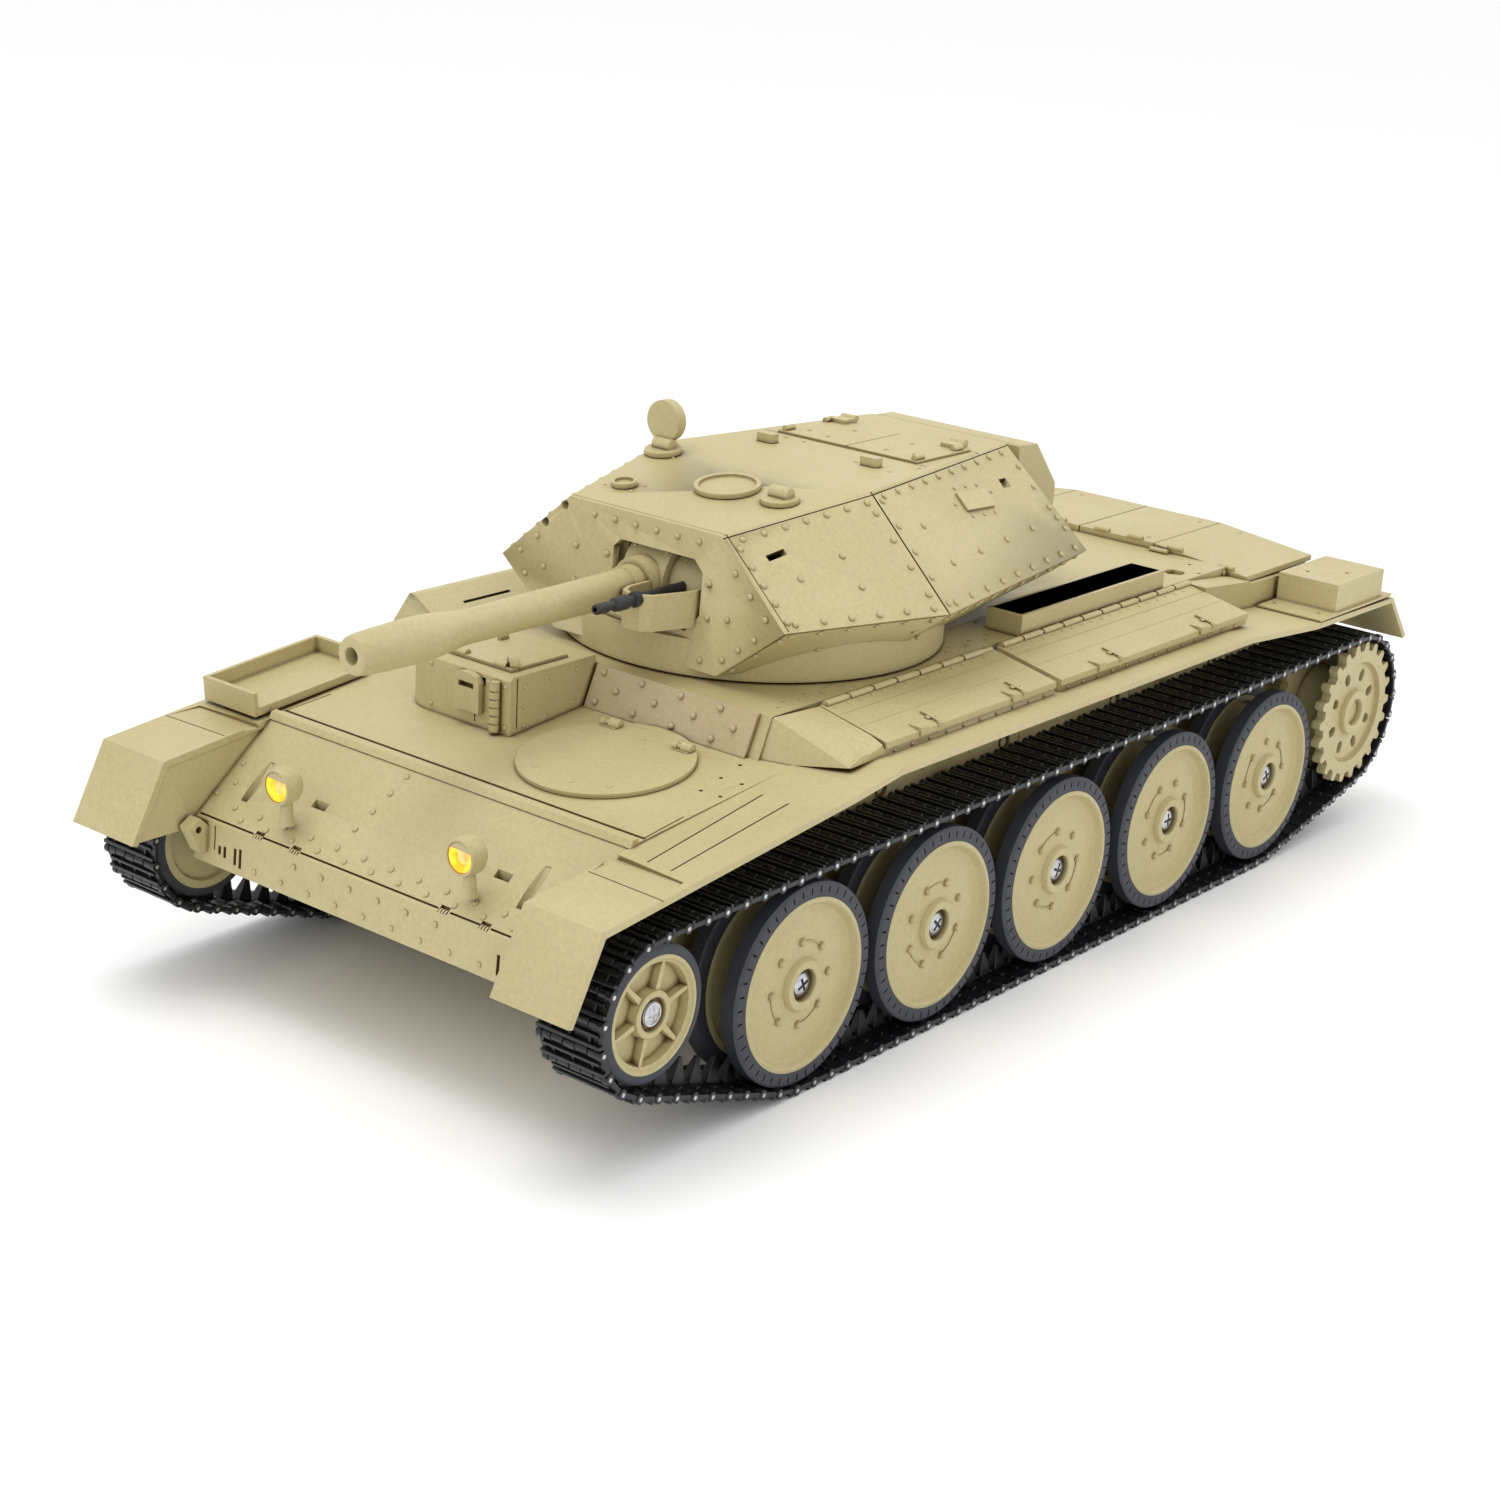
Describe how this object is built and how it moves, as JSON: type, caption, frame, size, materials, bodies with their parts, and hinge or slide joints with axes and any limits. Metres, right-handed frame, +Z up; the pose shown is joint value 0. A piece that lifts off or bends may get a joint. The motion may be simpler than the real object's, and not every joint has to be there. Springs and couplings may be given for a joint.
{
  "type": "remote control tank model",
  "caption": "Scale model tank with a turning riveted turret, elevating gun, road wheels on swing arms, drive sprockets and opening hatches.",
  "frame": {"origin": "on the ground under the middle of the model", "axes": "+Y towards the rear, so the gun points along -Y; +X towards the model's left side; +Z up"},
  "size_m": [0.169, 0.3798, 0.1386],
  "materials": {
    "sand_plastic": "sand yellow moulded plastic, satin, with brown wash in the panel lines",
    "track_plastic": "black moulded plastic with bright steel pin ends",
    "dark_metal": "dark phosphated metal",
    "lamp_lens": "amber lamp lens, lit",
    "muzzle_insert": "smoked lamp in the bore",
    "black_plastic": "black moulded plastic",
    "bright_screw": "bright steel screws and pins",
    "gear_housing": "black nylon gear housing",
    "motor_can": "plated steel motor can",
    "battery_wrap": "green board and shrink wrap",
    "gear_nylon": "natural nylon"
  },
  "bodies": {
    "hull": {"lower_hull": "sand_plastic", "upper_hull": "sand_plastic", "superstructure_plate": "sand_plastic", "driver_cab": "sand_plastic", "fender_boxes": "sand_plastic", "box_lids": "sand_plastic", "fender_tray": "sand_plastic", "deck_tray": "sand_plastic", "round_deck_cover": "sand_plastic", "headlamp_housings": "sand_plastic", "headlamp_lenses": "lamp_lens", "engine_covers": "sand_plastic", "rear_boxes": "sand_plastic", "gearboxes": "gear_housing", "drive_motors": "motor_can", "electronics": "battery_wrap", "battery_door": "sand_plastic", "hull_screws": "bright_screw", "traverse_motor": "motor_can", "idler_axles": "bright_screw", "return_rollers": "dark_metal", "track_left": "track_plastic", "track_right": "track_plastic"},
    "driver_hatch": {"driver_hatch": "sand_plastic"},
    "power_switch": {"power_switch": "black_plastic"},
    "traverse_pinion": {"traverse_pinion": "gear_nylon"},
    "turret": {"turret_shell": "sand_plastic", "turret_base": "sand_plastic", "turret_bin": "sand_plastic", "roof_fittings": "sand_plastic", "elevation_servo": "black_plastic"},
    "turret_hatch": {"turret_hatch": "sand_plastic"},
    "gun": {"gun_cradle": "sand_plastic", "gun_barrel": "sand_plastic", "muzzle_lamp": "muzzle_insert", "coaxial_gun": "black_plastic"},
    "sprocket_left": {"sprocket_left": "sand_plastic"},
    "idler_left": {"idler_left": "sand_plastic"},
    "arm_left_1": {"arm_left_1": "dark_metal"},
    "wheel_left_1": {"wheel_left_1": "sand_plastic"},
    "arm_left_2": {"arm_left_2": "dark_metal"},
    "wheel_left_2": {"wheel_left_2": "sand_plastic"},
    "arm_left_3": {"arm_left_3": "dark_metal"},
    "wheel_left_3": {"wheel_left_3": "sand_plastic"},
    "arm_left_4": {"arm_left_4": "dark_metal"},
    "wheel_left_4": {"wheel_left_4": "sand_plastic"},
    "arm_left_5": {"arm_left_5": "dark_metal"},
    "wheel_left_5": {"wheel_left_5": "sand_plastic"},
    "sprocket_right": {"sprocket_right": "sand_plastic"},
    "idler_right": {"idler_right": "sand_plastic"},
    "arm_right_1": {"arm_right_1": "dark_metal"},
    "wheel_right_1": {"wheel_right_1": "sand_plastic"},
    "arm_right_2": {"arm_right_2": "dark_metal"},
    "wheel_right_2": {"wheel_right_2": "sand_plastic"},
    "arm_right_3": {"arm_right_3": "dark_metal"},
    "wheel_right_3": {"wheel_right_3": "sand_plastic"},
    "arm_right_4": {"arm_right_4": "dark_metal"},
    "wheel_right_4": {"wheel_right_4": "sand_plastic"},
    "arm_right_5": {"arm_right_5": "dark_metal"},
    "wheel_right_5": {"wheel_right_5": "sand_plastic"}
  },
  "joints": [
    {"name": "turret_traverse", "type": "hinge", "parent": "hull", "child": "turret", "pos_m": [0, -0.031, 0.083], "axis": [0, 0, 1], "continuous": true},
    {"name": "traverse_pinion_spin", "type": "hinge", "parent": "hull", "child": "traverse_pinion", "pos_m": [0, -0.0022, 0.076], "axis": [0, 0, 1], "continuous": true},
    {"name": "gun_elevation", "type": "hinge", "parent": "turret", "child": "gun", "pos_m": [0, -0.066, 0.1025], "axis": [-1, 0, 0], "range_deg": [-5, 15]},
    {"name": "turret_hatch_lift", "type": "hinge", "parent": "turret", "child": "turret_hatch", "pos_m": [0, 0.0312, 0.127], "axis": [-1, 0, 0], "range_deg": [0, 95]},
    {"name": "driver_hatch_lift", "type": "hinge", "parent": "hull", "child": "driver_hatch", "pos_m": [-0.01925, -0.1137, 0.0853], "axis": [1, 0, 0], "range_deg": [0, 170]},
    {"name": "power_switch_slide", "type": "slide", "parent": "hull", "child": "power_switch", "axis": [0, 1, 0], "range_m": [0, 0.004]},
    {"name": "sprocket_left_spin", "type": "hinge", "parent": "hull", "child": "sprocket_left", "pos_m": [0.075, 0.1621, 0.0366], "axis": [1, 0, 0], "continuous": true},
    {"name": "idler_left_spin", "type": "hinge", "parent": "hull", "child": "idler_left", "pos_m": [0.075, -0.1604, 0.0366], "axis": [1, 0, 0], "continuous": true},
    {"name": "arm_left_1_swing", "type": "hinge", "parent": "hull", "child": "arm_left_1", "pos_m": [0.063, -0.0909, 0.035], "axis": [-1, 0, 0], "range_deg": [0, 4]},
    {"name": "wheel_left_1_spin", "type": "hinge", "parent": "arm_left_1", "child": "wheel_left_1", "pos_m": [0.075, -0.1079, 0.028], "axis": [1, 0, 0], "continuous": true},
    {"name": "arm_left_2_swing", "type": "hinge", "parent": "hull", "child": "arm_left_2", "pos_m": [0.063, -0.0372, 0.035], "axis": [-1, 0, 0], "range_deg": [0, 4]},
    {"name": "wheel_left_2_spin", "type": "hinge", "parent": "arm_left_2", "child": "wheel_left_2", "pos_m": [0.075, -0.0542, 0.028], "axis": [1, 0, 0], "continuous": true},
    {"name": "arm_left_3_swing", "type": "hinge", "parent": "hull", "child": "arm_left_3", "pos_m": [0.063, 0.017, 0.035], "axis": [-1, 0, 0], "range_deg": [0, 4]},
    {"name": "wheel_left_3_spin", "type": "hinge", "parent": "arm_left_3", "child": "wheel_left_3", "pos_m": [0.075, 0, 0.028], "axis": [1, 0, 0], "continuous": true},
    {"name": "arm_left_4_swing", "type": "hinge", "parent": "hull", "child": "arm_left_4", "pos_m": [0.063, 0.0725, 0.035], "axis": [-1, 0, 0], "range_deg": [0, 4]},
    {"name": "wheel_left_4_spin", "type": "hinge", "parent": "arm_left_4", "child": "wheel_left_4", "pos_m": [0.075, 0.0555, 0.028], "axis": [1, 0, 0], "continuous": true},
    {"name": "arm_left_5_swing", "type": "hinge", "parent": "hull", "child": "arm_left_5", "pos_m": [0.063, 0.1276, 0.035], "axis": [-1, 0, 0], "range_deg": [0, 4]},
    {"name": "wheel_left_5_spin", "type": "hinge", "parent": "arm_left_5", "child": "wheel_left_5", "pos_m": [0.075, 0.1106, 0.028], "axis": [1, 0, 0], "continuous": true},
    {"name": "sprocket_right_spin", "type": "hinge", "parent": "hull", "child": "sprocket_right", "pos_m": [-0.075, 0.1621, 0.0366], "axis": [1, 0, 0], "continuous": true},
    {"name": "idler_right_spin", "type": "hinge", "parent": "hull", "child": "idler_right", "pos_m": [-0.075, -0.1604, 0.0366], "axis": [1, 0, 0], "continuous": true},
    {"name": "arm_right_1_swing", "type": "hinge", "parent": "hull", "child": "arm_right_1", "pos_m": [-0.063, -0.0909, 0.035], "axis": [-1, 0, 0], "range_deg": [0, 4]},
    {"name": "wheel_right_1_spin", "type": "hinge", "parent": "arm_right_1", "child": "wheel_right_1", "pos_m": [-0.075, -0.1079, 0.028], "axis": [1, 0, 0], "continuous": true},
    {"name": "arm_right_2_swing", "type": "hinge", "parent": "hull", "child": "arm_right_2", "pos_m": [-0.063, -0.0372, 0.035], "axis": [-1, 0, 0], "range_deg": [0, 4]},
    {"name": "wheel_right_2_spin", "type": "hinge", "parent": "arm_right_2", "child": "wheel_right_2", "pos_m": [-0.075, -0.0542, 0.028], "axis": [1, 0, 0], "continuous": true},
    {"name": "arm_right_3_swing", "type": "hinge", "parent": "hull", "child": "arm_right_3", "pos_m": [-0.063, 0.017, 0.035], "axis": [-1, 0, 0], "range_deg": [0, 4]},
    {"name": "wheel_right_3_spin", "type": "hinge", "parent": "arm_right_3", "child": "wheel_right_3", "pos_m": [-0.075, 0, 0.028], "axis": [1, 0, 0], "continuous": true},
    {"name": "arm_right_4_swing", "type": "hinge", "parent": "hull", "child": "arm_right_4", "pos_m": [-0.063, 0.0725, 0.035], "axis": [-1, 0, 0], "range_deg": [0, 4]},
    {"name": "wheel_right_4_spin", "type": "hinge", "parent": "arm_right_4", "child": "wheel_right_4", "pos_m": [-0.075, 0.0555, 0.028], "axis": [1, 0, 0], "continuous": true},
    {"name": "arm_right_5_swing", "type": "hinge", "parent": "hull", "child": "arm_right_5", "pos_m": [-0.063, 0.1276, 0.035], "axis": [-1, 0, 0], "range_deg": [0, 4]},
    {"name": "wheel_right_5_spin", "type": "hinge", "parent": "arm_right_5", "child": "wheel_right_5", "pos_m": [-0.075, 0.1106, 0.028], "axis": [1, 0, 0], "continuous": true}
  ],
  "couplings": [
    {"joint": "traverse_pinion_spin", "follows": "turret_traverse", "ratio": 7},
    {"joint": "idler_left_spin", "follows": "sprocket_left_spin", "ratio": 1.2727},
    {"joint": "wheel_left_1_spin", "follows": "sprocket_left_spin", "ratio": 0.89052},
    {"joint": "wheel_left_2_spin", "follows": "sprocket_left_spin", "ratio": 0.89052},
    {"joint": "wheel_left_3_spin", "follows": "sprocket_left_spin", "ratio": 0.89052},
    {"joint": "wheel_left_4_spin", "follows": "sprocket_left_spin", "ratio": 0.89052},
    {"joint": "wheel_left_5_spin", "follows": "sprocket_left_spin", "ratio": 0.89052},
    {"joint": "idler_right_spin", "follows": "sprocket_right_spin", "ratio": 1.2727},
    {"joint": "wheel_right_1_spin", "follows": "sprocket_right_spin", "ratio": 0.89052},
    {"joint": "wheel_right_2_spin", "follows": "sprocket_right_spin", "ratio": 0.89052},
    {"joint": "wheel_right_3_spin", "follows": "sprocket_right_spin", "ratio": 0.89052},
    {"joint": "wheel_right_4_spin", "follows": "sprocket_right_spin", "ratio": 0.89052},
    {"joint": "wheel_right_5_spin", "follows": "sprocket_right_spin", "ratio": 0.89052}
  ]
}
